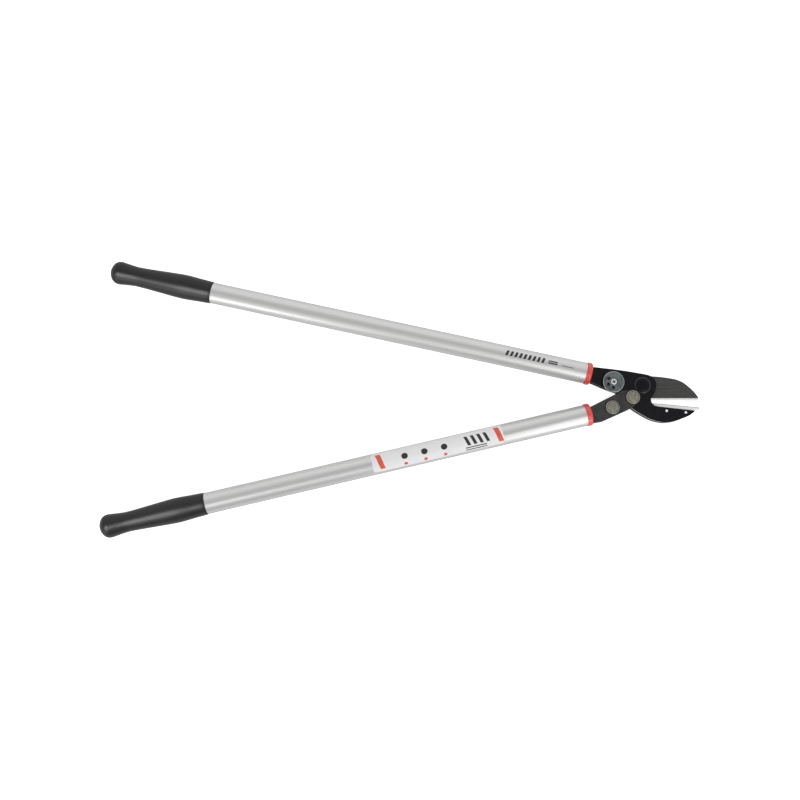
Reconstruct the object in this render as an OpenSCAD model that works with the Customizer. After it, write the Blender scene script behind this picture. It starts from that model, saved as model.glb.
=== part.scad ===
// Anvil lopper with a compound lever head, lying flat: X points to the blade's tip, Z is the pivots' axis.
// The origin is on the main pivot's axis, in the plane of the surface that the tool lies on.

/* [Handles] */
// Outer diameter of both handle tubes
tube_d = 30; // [29:0.5:33]
// Wall of both handle tubes
tube_wall = 1.5; // [1:0.1:1.8]
// Length of each tube between its collar and its grip
tube_len = 542; // [300:1:700]
// Slope of the upper handle, in degrees
upper_slope = 12.4; // [10:0.1:18]
// Slope of the lower handle, in degrees
lower_slope = 13.1; // [10:0.1:18]
// Upper handle's axis above the main pivot, square to the handle
upper_rise = 1.2; // [0:0.1:3]
// Main pivot to the face of the upper collar
upper_neck = 72.5; // [70:0.5:90]
// Lower lever's bend to the face of the lower collar
lower_neck = 23.5; // [21:0.5:40]
// Length of the levers' tangs behind the collars' faces
tang_len = 45; // [34:1:80]

/* [Grips] */
// Length of a grip
grip_len = 149; // [120:1:180]
// Largest diameter, at the belly
grip_belly_d = 34.6; // [33:0.2:38]
// Smallest diameter, at the waist
grip_waist_d = 27.8; // [25:0.2:30]
// Diameter of the flared end
grip_flare_d = 32.8; // [31:0.2:34]
// Step of the grip's mouth over the tube
grip_lip = 0.3; // [0.1:0.1:1]
// Bore of the hollow grip
grip_bore_d = 20; // [14:0.5:22]
// Thickness of the grip's closed end
grip_end_t = 12; // [8:1:20]
// Length of the grip's spigot inside the tube
grip_spigot_len = 40; // [20:1:80]

/* [Collars] */
// Diameter of a collar
collar_d = 31.8; // [31:0.2:36]
// Length of a collar outside its tube
collar_len = 7.6; // [5:0.2:12]
// Rounding of a collar's front edge
collar_round = 3; // [1:0.2:4]
// Length of a collar's spigot inside the tube
collar_spigot_len = 28; // [15:1:33]
// Width of the upper lever's tang
upper_tang_w = 19; // [15:0.5:20]
// Width of the lower lever's tang
lower_tang_w = 13; // [10:0.5:13.5]

/* [Lever train] */
// Lever pivot, distance behind the main pivot
lever_pivot_back = 14.8; // [14:0.1:17]
// Lever pivot, distance below the main pivot
lever_pivot_drop = 17.3; // [17:0.1:19]
// Slope of the lower lever's arm, in degrees
arm_slope = 26.4; // [24:0.1:29]
// Lever pivot to the drive bolt
drive_reach = 32.1; // [31:0.1:36]
// Lever pivot to the bend of the lower lever
bend_reach = 38.7; // [36:0.1:46]
// Radius of the lower lever's round end
strap_end_r = 10.5; // [10:0.1:10.6]
// Lever pivot to the lower lever's upper edge
strap_upper = 14.7; // [13:0.1:15]
// Lever pivot to the lower lever's lower edge
strap_lower = 12; // [11:0.1:13]
// Lower lever's travel from rest to closed, in degrees
close_turn = 8; // [6:0.5:8]
// Lower lever's travel from rest to open, in degrees
open_turn = 57; // [40:1:57]
// Shoulder of the lower lever beside its tang, above the handle's axis
strap_shoulder_up = 9.4; // [8:0.1:10]
// Shoulder of the lower lever beside its tang, below the handle's axis
strap_shoulder_down = 13; // [11:0.1:14]
// Thickness of each strap of the lower lever
strap_t = 3; // [2.5:0.1:3.2]
// Length of the lower lever's spacer in front of the lower collar
lever_spacer_lead = 12; // [6:0.5:12]

/* [Hook] */
// Main pivot to the tip of the hook
jaw_reach = 71; // [66:0.5:76]
// Main pivot to the lowest point of the hook
jaw_drop = 52; // [50:0.5:56]
// Main pivot's height of the plates' upper edge
eye_rise = 17; // [16.5:0.1:19]
// Height of the hook's tip
tip_h = 3; // [1.5:0.1:4]
// Thickness of each hook plate
plate_t = 4; // [3:0.1:4.2]
// Upper arm's edge above the handle's axis, at the collar
arm_up = 9.8; // [9.6:0.1:11]
// Upper arm's edge below the handle's axis, at the collar
arm_down = 11.7; // [11:0.1:14.5]
// Length of the spacer in front of the upper collar
spacer_lead = 16; // [8:0.5:20]

/* [Anvil] */
// Angle between the blade's edge and the anvil at rest, in degrees
jaw_gap = 4.9; // [4.8:0.1:8]
// Main pivot to the near end of the anvil, along the anvil
anvil_heel = 14.5; // [14:0.1:17]
// Anvil's nose beyond the tip of the hook, along the anvil
anvil_overhang = 10.6; // [9:0.1:13]
// Height of the anvil
anvil_h = 13; // [12:0.1:14]
// Height of the nose's upright end
anvil_nose_h = 2.8; // [2:0.1:4]
// Length of the nose that runs up to its end
anvil_nose_len = 15.5; // [12:0.1:18]
// Height of the anvil over the hook's edge, at the heel
anvil_stand_heel = 4.4; // [3:0.1:5]
// Height of the anvil over the hook's edge, at the nose
anvil_stand_nose = 5.8; // [4:0.1:6.2]
// Anvil rivets' depth below the anvil's face
rivet_drop = 9.5; // [9:0.1:10]
// Diameter of the anvil rivets
rivet_d = 3.5; // [2.5:0.1:4]
// Height of the anvil rivets' heads
rivet_head = 0.4; // [0.2:0.1:0.8]
// Second anvil rivet behind the tip of the hook, along the anvil
rivet_back = 8.6; // [7:0.1:15]
// First anvil rivet beyond the anvil's heel, along the anvil
rivet_heel = 21.2; // [18:0.1:26]

/* [Blade] */
// Thickness of the blade
blade_t = 4.4; // [4:0.1:5]
// Main pivot to the blade's front end
blade_reach = 79.4; // [76:0.1:80]
// Main pivot to the cutting edge
edge_drop = 23.4; // [23:0.1:24.5]
// Height of the ground bevel
bevel_h = 5.9; // [4:0.1:7]
// Thickness left at the cutting edge
edge_t = 0.3; // [0.1:0.1:0.6]
// Main pivot to the start of the bevel
bevel_from = 8; // [6:0.1:10]
// Blade's heel behind the main pivot
heel_back = 4; // [2:0.1:6]
// Radius of the blade's hub
hub_r = 15.5; // [13:0.1:16]
// Half width of the blade's tail
tail_half = 10.5; // [9.5:0.1:11]

/* [Fasteners] */
// Diameter of the main bolt
pivot_d = 10; // [8:0.5:11]
// Diameter of the main bolt's cap head
cap_d = 23.4; // [22:0.1:23.6]
// Height of the cap head's straight rim
cap_rim_h = 2.2; // [1.5:0.1:3]
// Height of the cap head's dome over its rim
cap_dome_h = 2.6; // [1.5:0.1:4]
// Outer diameter of the blade's bush
bush_d = 16; // [14:0.2:18]
// Outer diameter of the main washer
washer_d = 22; // [20:0.2:23]
// Thickness of the main washer
washer_t = 1.5; // [1:0.1:2]
// Width across the flats of the main nut
pivot_nut_af = 17; // [15:0.5:18]
// Thickness of the main nut's closed end
nut_floor = 2; // [1.5:0.1:3]
// Diameter of the lever pivot studs
stud_d = 12; // [9:0.2:13]
// Diameter of the lever pivot and drive bolt heads
head_d = 19; // [17:0.2:19.4]
// Height of the lever pivot and drive bolt heads
head_h = 3; // [2:0.1:4]
// Diameter of the drive bolt
drive_d = 7; // [6:0.2:8]
// Diameter of the drive roller
roller_d = 11; // [10:0.2:12]
// Diameter of the drive bolt's sleeves
sleeve_d = 14; // [12:0.2:15]
// Width across the flats of the drive nut
drive_nut_af = 13; // [11:0.5:15]
// Height of the drive nut
drive_nut_h = 5; // [4:0.1:6]

/* [Stop dial] */
// Dial's centre behind the main pivot
dial_back = 41.3; // [40.5:0.1:44]
// Dial's centre above the main pivot
dial_rise = 4.1; // [3.8:0.1:6]
// Diameter of the dial
dial_d = 30; // [26:0.2:31]
// Thickness of the dial
dial_t = 3; // [2:0.1:4]
// Diameter of the eccentric cam under the dial
cam_d = 21.6; // [18:0.2:22]
// Offset of the cam
cam_offset = 2.2; // [1:0.1:2.4]
// Cam's clearance over the strap it stops
cam_over = 0.3; // [0.2:0.1:0.6]
// Diameter of the dial's three index holes
index_d = 3.1; // [2:0.1:4]
// Dial's centre to its index holes
index_reach = 8.2; // [7:0.1:10]
// Diameter of the dial screw
dial_screw_d = 5; // [4:0.1:6]
// Diameter of the dial screw's head
dial_head_d = 8; // [7:0.1:9]
// Height of the dial screw's head
dial_head_h = 1.6; // [1:0.1:3]
// Diameter of the dial's washer and of the bush behind it
dial_bush_d = 11; // [9:0.2:12]
// Thickness of the dial's washer
dial_washer_t = 0.5; // [0.4:0.1:0.8]
// Width across the flats of the dial nut
dial_nut_af = 8; // [7:0.5:10]
// Height of the dial nut
dial_nut_h = 4; // [3:0.1:5]

/* [Clearances] */
// Radial clearance of a pin or bush that turns
run_fit = 0.05; // [0.02:0.01:0.09]
// Clearance of the drive roller in the blade's slot
slot_fit = 0.2; // [0.15:0.01:0.3]
// Room at each end of the blade's slot
slot_room = 0.6; // [0.4:0.1:1]
// Gap beside the blade
blade_gap = 0.25; // [0.2:0.01:0.4]
// Gap between hook plates and straps
strap_gap = 0.3; // [0.2:0.01:0.5]
// Gap under the lever pivot heads
head_gap = 0.2; // [0.1:0.01:0.4]
// Clearance of the spigots in the tubes and of the tangs in the collars
push_fit = 0.1; // [0.05:0.01:0.2]

/* [Hidden] */
$fn = 96;
// Overrun of all cuts
over = 1;

// Places along Z, from the tool's middle plane outwards
mid_z = grip_belly_d / 2;
plate_in = blade_t / 2 + blade_gap;
plate_out = plate_in + plate_t;
strap_in = plate_out + strap_gap;
strap_out = strap_in + strap_t;
cam_from = plate_out + dial_washer_t;
dial_from = strap_out + cam_over;

// Places in the plane of the levers
lever_pivot = [-lever_pivot_back, -lever_pivot_drop];
dial_centre = [-dial_back, dial_rise];
arm_turn = 180 + arm_slope;
handle_turn = 180 + lower_slope;
handle_bend = handle_turn - arm_turn;
drive_pin = lever_pivot + drive_reach * [cos(arm_turn), sin(arm_turn)];
tail_turn = 180 + atan2(-drive_pin.y, -drive_pin.x);
pivot_gap = norm(lever_pivot);
// The drive pin runs nearest the main pivot at one end of its travel and is farthest in line with both pivots
train_turn = 180 + atan2(lever_pivot_drop, lever_pivot_back);
slot_far = pivot_gap + drive_reach;
function pin_reach(turn) = sqrt(pow(pivot_gap, 2) + pow(drive_reach, 2)
    + 2 * pivot_gap * drive_reach * cos(train_turn - arm_turn - turn));
slot_near = min(pin_reach(-close_turn), pin_reach(open_turn));
tube_in_r = tube_d / 2 - tube_wall;
grip_mouth_r = tube_d / 2 + grip_lip;
anvil_top = -edge_drop;
anvil_nose = jaw_reach + anvil_overhang;
rivet_places = [anvil_heel + rivet_heel, jaw_reach - rivet_back];
// Room between the main bolt's end and the nut's closed end
bolt_room = 0.5;
// Directions of the dial's index holes and of the cam's lobe, in degrees
index_turns = [145, 205, 265];
cam_turn = -61;

steel_black = [0.06, 0.06, 0.07];
steel_grey = [0.27, 0.27, 0.26];
zinc = [0.55, 0.53, 0.49];
silver = [0.80, 0.80, 0.79];
red = [0.80, 0.16, 0.14];
grip_black = [0.10, 0.10, 0.10];

// Smooth curve through points, with a number of steps between neighbours
function blend4(a, b, c, d, t) = (2 * b + (c - a) * t + (2 * a - 5 * b + 4 * c - d) * pow(t, 2)
    + (3 * b - a - 3 * c + d) * pow(t, 3)) / 2;
function curve(p, steps) = concat(
    [for (i = [0 : len(p) - 2]) for (k = [0 : steps - 1])
        blend4(p[max(i - 1, 0)], p[i], p[i + 1], p[min(i + 2, len(p) - 1)], k / steps)],
    [p[len(p) - 1]]);
function scaled(shares, sizes) = [for (s = shares) [s.x * sizes.x, s.y * sizes.y]];
function turned(p, angle) = [p.x * cos(angle) - p.y * sin(angle), p.x * sin(angle) + p.y * cos(angle)];

// Frames of the two handles, of the lower lever's arm and of the anvil
module on_upper_handle() { rotate(180 - upper_slope) translate([0, -upper_rise, 0]) children(); }
module on_arm() { translate(lever_pivot) rotate(arm_turn) children(); }
module on_lower_handle() { on_arm() translate([bend_reach, 0, 0]) rotate(handle_bend) children(); }
module on_anvil() { rotate(-jaw_gap) children(); }
module at_mid() { translate([0, 0, mid_z]) children(); }
module slab(from_z, to_z) { translate([0, 0, from_z]) linear_extrude(to_z - from_z) children(); }
module rod(d, from_z, to_z) { translate([0, 0, from_z]) cylinder(d = d, h = to_z - from_z); }
module bore(d, from_z, to_z) { rod(d + 2 * run_fit, from_z - over, to_z + over); }
module hex(af, from_z, to_z) {
    translate([0, 0, from_z]) cylinder(d = af / cos(30), h = to_z - from_z, $fn = 6);
}
module tang(neck, lead, w) { translate([neck - lead, -w / 2]) square([lead + tang_len, w]); }
module mirrored(rear) { if (rear) mirror([0, 0, 1]) children(); else children(); }

// A grip's outline from its closed end to its mouth: radius against distance
flare_shares = [[0, 0.2], [0.012, 0.46], [0.03, 0.74], [0.055, 0.92], [0.094, 1], [0.135, 0.955],
    [0.2, 0.885]];
body_shares = [0.29, 0.5, 0.715, 0.87, 1];
function grip_side() = curve(concat(
    [for (s = flare_shares) [s.y * grip_flare_d / 2, s.x * grip_len]],
    [[grip_waist_d / 2, body_shares[0] * grip_len],
     [(grip_waist_d + grip_belly_d) / 4, body_shares[1] * grip_len],
     [grip_belly_d / 2, body_shares[2] * grip_len],
     [grip_belly_d / 4 + grip_mouth_r / 2, body_shares[3] * grip_len],
     [grip_mouth_r, body_shares[4] * grip_len]]), 4);

// Grip with a hollow spigot that plugs into the tube; its mouth lies at x = 0 of its handle
module grip_body() {
    spigot_r = tube_in_r - push_fit;
    side = concat([[0, 0]], grip_side(),
        [[spigot_r, grip_len], [spigot_r, grip_len + grip_spigot_len], [0, grip_len + grip_spigot_len]]);
    translate([grip_len, 0, 0]) rotate([0, -90, 0]) difference() {
        rotate_extrude() polygon(side);
        rod(grip_bore_d, grip_end_t, grip_len + grip_spigot_len + over);
    }
}

module tube_body() {
    rotate([0, 90, 0]) difference() {
        cylinder(d = tube_d, h = tube_len);
        rod(2 * tube_in_r, -over, tube_len + over);
    }
}

// Flanged plug in the end of a tube, slotted for a lever's tang; its face lies at x = 0
module collar_body(slot_w, slot_half) {
    flange_r = collar_d / 2;
    spigot_r = tube_in_r - push_fit;
    corner = [for (a = [0 : 15 : 90])
        [flange_r - collar_round * (1 - sin(a)), collar_round * (1 - cos(a))]];
    side = concat([[0, 0]], corner, [[flange_r, collar_len], [spigot_r, collar_len],
        [spigot_r, collar_len + collar_spigot_len], [0, collar_len + collar_spigot_len]]);
    slot = [2 * (slot_half + push_fit), slot_w + 2 * push_fit, collar_len + collar_spigot_len + 2 * over];
    rotate([0, 90, 0]) difference() {
        rotate_extrude() polygon(side);
        translate([-slot.x / 2, -slot.y / 2, -over]) cube(slot);
    }
}

module upper_grip() {
    color(grip_black) at_mid() on_upper_handle()
        translate([upper_neck + collar_len + tube_len, 0, 0]) grip_body();
}
module lower_grip() {
    color(grip_black) at_mid() on_lower_handle()
        translate([lower_neck + collar_len + tube_len, 0, 0]) grip_body();
}
module upper_tube() {
    color(silver) at_mid() on_upper_handle() translate([upper_neck + collar_len, 0, 0]) tube_body();
}
module lower_tube() {
    color(silver) at_mid() on_lower_handle() translate([lower_neck + collar_len, 0, 0]) tube_body();
}
module upper_collar() {
    color(red) at_mid() on_upper_handle() translate([upper_neck, 0, 0]) collar_body(upper_tang_w, plate_out);
}
module lower_collar() {
    color(red) at_mid() on_lower_handle() translate([lower_neck, 0, 0]) collar_body(lower_tang_w, strap_out);
}

// Outline of a hook plate: upper arm, eye, throat, seat of the anvil, tip, belly and tang
arm_top_shares = [[-0.42, 1.27], [-0.03, 1]];
eye_shares = [[0.12, 0.87], [0.2, 0.72], [0.262, 0.38], [0.274, 0.02], [0.25, -0.48]];
throat_shares = [[0.207, -0.59], [0.166, -0.77], [0.161, -0.9], [0.182, -1.077], [0.22, -1.2]];
seat_shares = [0.314, 1.03];
belly_shares = [[0.92, -0.804], [0.82, -0.868], [0.62, -0.966], [0.465, -1], [0.366, -0.997], [0.17, -0.932],
    [-0.024, -0.796], [-0.218, -0.614], [-0.36, -0.38], [-0.489, -0.206], [-0.608, -0.137], [-0.728, -0.075]];
module hook_outline() {
    top_end = turned([upper_neck, -upper_rise - arm_up], 180 - upper_slope);
    low_end = turned([upper_neck, arm_down - upper_rise], 180 - upper_slope);
    seat_end = [seat_shares[1] * jaw_reach, anvil_top - anvil_stand_nose];
    seat = [for (p = [[seat_shares[0] * jaw_reach, anvil_top - anvil_stand_heel], seat_end,
        seat_end + [tip_h / 2, -tip_h / 2], seat_end + [0, -tip_h]]) turned(p, -jaw_gap)];
    half = upper_tang_w / 2;
    tang_end = upper_neck + tang_len;
    tang_corners = [for (p = [[upper_neck, half], [tang_end, half], [tang_end, -half], [upper_neck, -half]])
        turned(p - [0, upper_rise], 180 - upper_slope)];
    inner = concat([top_end], scaled(concat(arm_top_shares, eye_shares), [jaw_reach, eye_rise]),
        scaled(throat_shares, [jaw_reach, edge_drop]));
    outer = concat(scaled(belly_shares, [jaw_reach, jaw_drop]), [low_end]);
    polygon(concat(curve(inner, 4), seat, curve(outer, 4), tang_corners));
}

// One plate of the hook, in front of the blade or behind it
module hook_plate(rear) {
    at_mid() mirrored(rear) difference() {
        slab(plate_in, plate_out) hook_outline();
        bore(pivot_d, plate_in, plate_out);
        translate(lever_pivot) bore(stud_d, plate_in, plate_out);
        translate(dial_centre) bore(dial_screw_d, plate_in, plate_out);
        on_anvil() for (x = rivet_places)
            translate([x, anvil_top - rivet_drop]) bore(rivet_d, plate_in, plate_out);
    }
}
module hook_front() { color(steel_black) hook_plate(false); }
module hook_rear() { color(steel_black) hook_plate(true); }

// Bar that keeps the hook plates apart inside the upper handle
module upper_spacer() {
    color(zinc) at_mid() on_upper_handle() slab(-plate_in, plate_in)
        tang(upper_neck, spacer_lead, upper_tang_w);
}

// Soft bar between the hook plates, which the blade closes on
module anvil() {
    low = anvil_top - anvil_h;
    bar = [[anvil_heel, anvil_top], [anvil_nose, anvil_top], [anvil_nose, anvil_top - anvil_nose_h],
        [anvil_nose - anvil_nose_len, low], [anvil_heel + anvil_h, low],
        [anvil_heel, anvil_top - anvil_h / 2]];
    color(silver) at_mid() on_anvil() difference() {
        slab(-plate_in, plate_in) polygon(bar);
        for (x = rivet_places) translate([x, anvil_top - rivet_drop]) bore(rivet_d, -plate_in, plate_in);
    }
}
module anvil_rivets() {
    color(silver) at_mid() on_anvil() for (x = rivet_places)
        translate([x, anvil_top - rivet_drop]) rod(rivet_d, -plate_out - rivet_head, plate_out + rivet_head);
}

// Main pivot: a bolt with a domed cap head, the blade's bush, and a washer and nut at the rear
module pivot_bolt() {
    dome = [for (a = [0 : 10 : 90])
        [cos(a) * cap_d / 2, plate_out + cap_rim_h + cap_dome_h * sin(a)]];
    color(steel_black) at_mid() {
        rotate_extrude() polygon(concat([[0, plate_out], [cap_d / 2, plate_out]], dome));
        rod(pivot_d, nut_floor + bolt_room - mid_z, plate_out);
    }
}
module pivot_bush() {
    color(zinc) at_mid() difference() {
        rod(bush_d, -plate_in, plate_in);
        bore(pivot_d, -plate_in, plate_in);
    }
}
module pivot_washer() {
    color(zinc) at_mid() difference() {
        rod(washer_d, -plate_out - washer_t, -plate_out);
        bore(pivot_d, -plate_out - washer_t, -plate_out);
    }
}
module pivot_nut() {
    color(zinc) at_mid() difference() {
        hex(pivot_nut_af, -mid_z, -plate_out - washer_t);
        bore(pivot_d, nut_floor + over - mid_z, -plate_out - washer_t);
    }
}

// Headed stud in one hook plate, which carries one strap of the lower lever and ends flush beside the blade
module lever_stud(rear) {
    at_mid() mirrored(rear) translate(lever_pivot) {
        rod(stud_d, plate_in, strap_out + head_gap);
        rod(head_d, strap_out + head_gap, strap_out + head_gap + head_h);
    }
}
module lever_pivot_front() { color(zinc) lever_stud(false); }
module lever_pivot_rear() { color(zinc) lever_stud(true); }

// Closing stop: a dial and its eccentric cam turn on a screw through both hook plates
module at_dial() { at_mid() translate(dial_centre) children(); }
module stop_dial() {
    color(zinc) at_dial() difference() {
        rod(dial_d, dial_from, dial_from + dial_t);
        bore(dial_screw_d, dial_from, dial_from + dial_t);
        for (a = index_turns)
            rotate(a) translate([index_reach, 0]) bore(index_d, dial_from, dial_from + dial_t);
    }
}
module stop_cam() {
    color(steel_grey) at_dial() difference() {
        rotate(cam_turn) translate([cam_offset, 0]) rod(cam_d, cam_from, dial_from);
        bore(dial_screw_d, cam_from, dial_from);
    }
}
module dial_screw() {
    seat = dial_from + dial_t + head_gap;
    color(silver) at_dial() {
        rod(dial_screw_d, -plate_out - dial_nut_h, seat);
        rod(dial_head_d, seat, seat + dial_head_h);
    }
}
module dial_bush() {
    color(zinc) at_dial() difference() {
        rod(dial_bush_d, -plate_in, plate_in);
        bore(dial_screw_d, -plate_in, plate_in);
    }
}
module dial_washer() {
    color(zinc) at_dial() difference() {
        rod(dial_bush_d, plate_out, cam_from);
        bore(dial_screw_d, plate_out, cam_from);
    }
}
module dial_nut() {
    color(zinc) at_dial() difference() {
        hex(dial_nut_af, -plate_out - dial_nut_h, -plate_out);
        bore(dial_screw_d, -plate_out - dial_nut_h, -plate_out);
    }
}

// Blade with its hub, its ground edge and a slotted tail that the drive roller pushes
back_shares = [[0.19, 0.58], [0.334, 0.545], [0.51, 0.46], [0.615, 0.387], [0.72, 0.246], [0.806, 0.034],
    [0.874, -0.178], [0.924, -0.357], [0.966, -0.54], [1, -0.73]];
module blade_outline() {
    polygon(concat([[0, hub_r]], curve(scaled(back_shares, [blade_reach, edge_drop]), 4),
        [[blade_reach, -edge_drop], [-heel_back, -edge_drop], [-hub_r, 0]]));
}
module blade_blank() {
    half = blade_t / 2;
    slab(-half, half) blade_outline();
    rod(2 * hub_r, -half, half);
    rotate(tail_turn) {
        slab(-half, half) translate([0, -tail_half]) square([slot_far, 2 * tail_half]);
        translate([slot_far, 0]) rod(2 * tail_half, -half, half);
    }
}
module slot_outline() {
    half = roller_d / 2 + slot_fit;
    near = slot_near - slot_room;
    far = slot_far + slot_room;
    translate([near, -half]) square([far - near, 2 * half]);
    for (x = [near, far]) translate([x, 0]) circle(r = half);
}
module bevel_cut() {
    outer = blade_t / 2;
    wedge = [[bevel_h - edge_drop, outer], [-edge_drop, edge_t / 2], [-edge_drop - over, edge_t / 2],
        [-edge_drop - over, outer + over], [bevel_h - edge_drop, outer + over]];
    translate([bevel_from, 0, 0]) rotate([90, 0, 90])
        linear_extrude(blade_reach - bevel_from + over) polygon(wedge);
}
module blade() {
    color(steel_grey) at_mid() difference() {
        blade_blank();
        bore(bush_d, -blade_t / 2, blade_t / 2);
        rotate(tail_turn) slab(-blade_t / 2 - over, blade_t / 2 + over) slot_outline();
        bevel_cut();
        mirror([0, 0, 1]) bevel_cut();
    }
}

// One strap of the lower lever: round end at the lever pivot, bend behind the drive bolt, tang in the handle
strap_low_shares = [[0.28, 1.06], [1.29, 0.94]];
strap_knee_share = 0.2;
module strap_outline() {
    half = lower_tang_w / 2;
    tang_end = lower_neck + tang_len;
    root = [for (p = [[lower_neck, strap_shoulder_down], [lower_neck, half], [tang_end, half],
        [tang_end, -half], [lower_neck, -half], [lower_neck, -strap_shoulder_up]])
        [bend_reach, 0] + turned(p, handle_bend)];
    round_end = [for (a = [90 : 6 : 270]) strap_end_r * [cos(a), -sin(a)]];
    polygon(concat(scaled(strap_low_shares, [bend_reach, strap_lower]), root,
        [[strap_knee_share * bend_reach, -strap_upper]], round_end));
}
module lever_strap(rear) {
    at_mid() mirrored(rear) difference() {
        on_arm() slab(strap_in, strap_out) strap_outline();
        translate(lever_pivot) bore(stud_d, strap_in, strap_out);
        translate(drive_pin) bore(drive_d, strap_in, strap_out);
    }
}
module lever_front() { color(steel_grey) lever_strap(false); }
module lever_rear() { color(steel_grey) lever_strap(true); }
module lever_spacer() {
    color(zinc) at_mid() on_lower_handle() slab(-strap_in, strap_in)
        tang(lower_neck, lever_spacer_lead, lower_tang_w);
}

// Drive bolt through both straps, with a roller in the blade's slot between two sleeves
module at_drive() { at_mid() translate(drive_pin) children(); }
module drive_bolt() {
    color(zinc) at_drive() {
        rod(drive_d, -strap_out - drive_nut_h, strap_out);
        rod(head_d, strap_out, strap_out + head_h);
    }
}
module drive_sleeves() {
    color(zinc) at_drive() for (rear = [false, true]) mirrored(rear) difference() {
        rod(sleeve_d, plate_in, strap_in);
        bore(drive_d, plate_in, strap_in);
    }
}
module drive_roller() {
    color(zinc) at_drive() difference() {
        rod(roller_d, -plate_in, plate_in);
        bore(drive_d, -plate_in, plate_in);
    }
}
module drive_nut() {
    color(zinc) at_drive() difference() {
        hex(drive_nut_af, -strap_out - drive_nut_h, -strap_out);
        bore(drive_d, -strap_out - drive_nut_h, -strap_out);
    }
}

upper_grip();
upper_tube();
upper_collar();
hook_front();
hook_rear();
upper_spacer();
anvil();
anvil_rivets();
pivot_bolt();
pivot_bush();
pivot_washer();
pivot_nut();
lever_pivot_front();
lever_pivot_rear();
dial_screw();
dial_bush();
dial_washer();
dial_nut();
stop_dial();
stop_cam();
blade();
lever_front();
lever_rear();
lever_spacer();
drive_bolt();
drive_sleeves();
drive_roller();
drive_nut();
lower_collar();
lower_tube();
lower_grip();
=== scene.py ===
"""Looks of an anvil lopper that lies flat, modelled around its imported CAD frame."""
from collections import namedtuple
from math import atan2, copysign, cos, degrees, hypot, inf, pi, radians, sin

import bpy
from mathutils import Matrix, Vector


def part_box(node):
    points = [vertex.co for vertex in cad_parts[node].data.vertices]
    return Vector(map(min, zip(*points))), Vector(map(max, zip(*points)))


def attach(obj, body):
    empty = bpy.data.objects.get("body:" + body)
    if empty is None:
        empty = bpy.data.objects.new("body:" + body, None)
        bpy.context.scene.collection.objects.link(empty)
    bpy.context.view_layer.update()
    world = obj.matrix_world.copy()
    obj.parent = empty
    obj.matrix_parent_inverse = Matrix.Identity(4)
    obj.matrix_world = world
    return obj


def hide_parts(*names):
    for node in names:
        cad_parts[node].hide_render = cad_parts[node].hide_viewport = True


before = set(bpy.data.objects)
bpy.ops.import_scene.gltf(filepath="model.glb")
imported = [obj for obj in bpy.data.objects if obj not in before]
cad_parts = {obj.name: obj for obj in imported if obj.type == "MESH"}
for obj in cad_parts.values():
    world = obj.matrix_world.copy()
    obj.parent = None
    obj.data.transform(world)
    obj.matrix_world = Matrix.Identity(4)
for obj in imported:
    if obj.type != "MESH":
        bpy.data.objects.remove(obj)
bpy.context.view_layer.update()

bl_info = {
    "name": "Anvil Lopper",
    "version": (1, 0, 0),
    "blender": (4, 5, 0),
    "location": "View3D > Sidebar > Lopper",
    "description": "Models the grips, tubes, head and finishes of an anvil lopper",
    "category": "Object",
}

MM = 0.001
MERGE = 0.002 * MM
FLAT_ANGLE = radians(0.5)
SMOOTH_ANGLE = radians(40)
QUARTER_TURN = radians(90)
# Degrees between two faces from which their edge is rounded, as a rule and on moulded or milled pieces
SHARP = 35
VERY_SHARP = 50
# Part of a normal along an axis from which a face counts as square to it, and up to which as upright
SQUARE_ON = 0.9
UPRIGHT = 0.5
ROOT = "anvil_side"
LEVER = "lower_lever"
SIDES = (("upper", ROOT), ("lower", LEVER))

Tube = namedtuple("Tube", "front along run radius")


def length(text, default):
    """A size in metres for the sidebar."""
    return bpy.props.FloatProperty(description=text, default=default, min=0.0, precision=5, unit="LENGTH")


def colour(text, default):
    """A linear colour for the sidebar."""
    return bpy.props.FloatVectorProperty(description=text, default=default, size=3, min=0.0, max=1.0,
                                         subtype="COLOR")


class LopperSizes(bpy.types.PropertyGroup):
    """Sizes of what the scene adds to the frame."""

    plate_round: length("Rounding of the hook plates' edges", 1.0 * MM)
    strap_round: length("Rounding of the lower lever's edges", 0.5 * MM)
    blade_round: length("Rounding of the blade's edges", 0.12 * MM)
    small_round: length("Rounding of nuts, washers and rivets", 0.3 * MM)
    anvil_round: length("Rounding of the anvil's edges", 0.12 * MM)
    dial_round: length("Rounding of the dial's rim", 1.0 * MM)
    index_sink: length("Countersink of the dial's index holes", 0.6 * MM)
    collar_round: length("Rounding of the collars' slots", 0.3 * MM)
    grip_length: length("Length of a grip from its mouth to its end", 149 * MM)
    grip_flare: length("Radius of a grip's flared end", 16.4 * MM)
    grip_waist: length("Radius of a grip's waist", 13.9 * MM)
    grip_belly: length("Radius of a grip's belly", 17.3 * MM)
    grip_lip: length("Step of a grip's mouth over its tube", 0.3 * MM)
    tube_wall: length("Wall of the handle tubes", 1.5 * MM)
    tube_chamfer: length("Chamfer at the tubes' ends", 0.4 * MM)
    head_height: length("Height of the pivot and drive bolt heads", 3 * MM)
    cap_height: length("Height of the main bolt's cap", 4.8 * MM)
    cap_rim: length("Height of the cap's straight rim", 2.2 * MM)
    screw_head: length("Height of the dial screw's head", 1.6 * MM)
    anvil_chamfer: length("Chamfer along the anvil's working face", 0.8 * MM)
    label_length: length("Length of the label along the lower tube", 186 * MM)
    label_corner: length("Rounding of the label's corners", 4 * MM)
    label_start: length("Front of the lower tube to the label", 120 * MM)
    sheet: length("Thickness of the label and of the print", 0.08 * MM)


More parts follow.
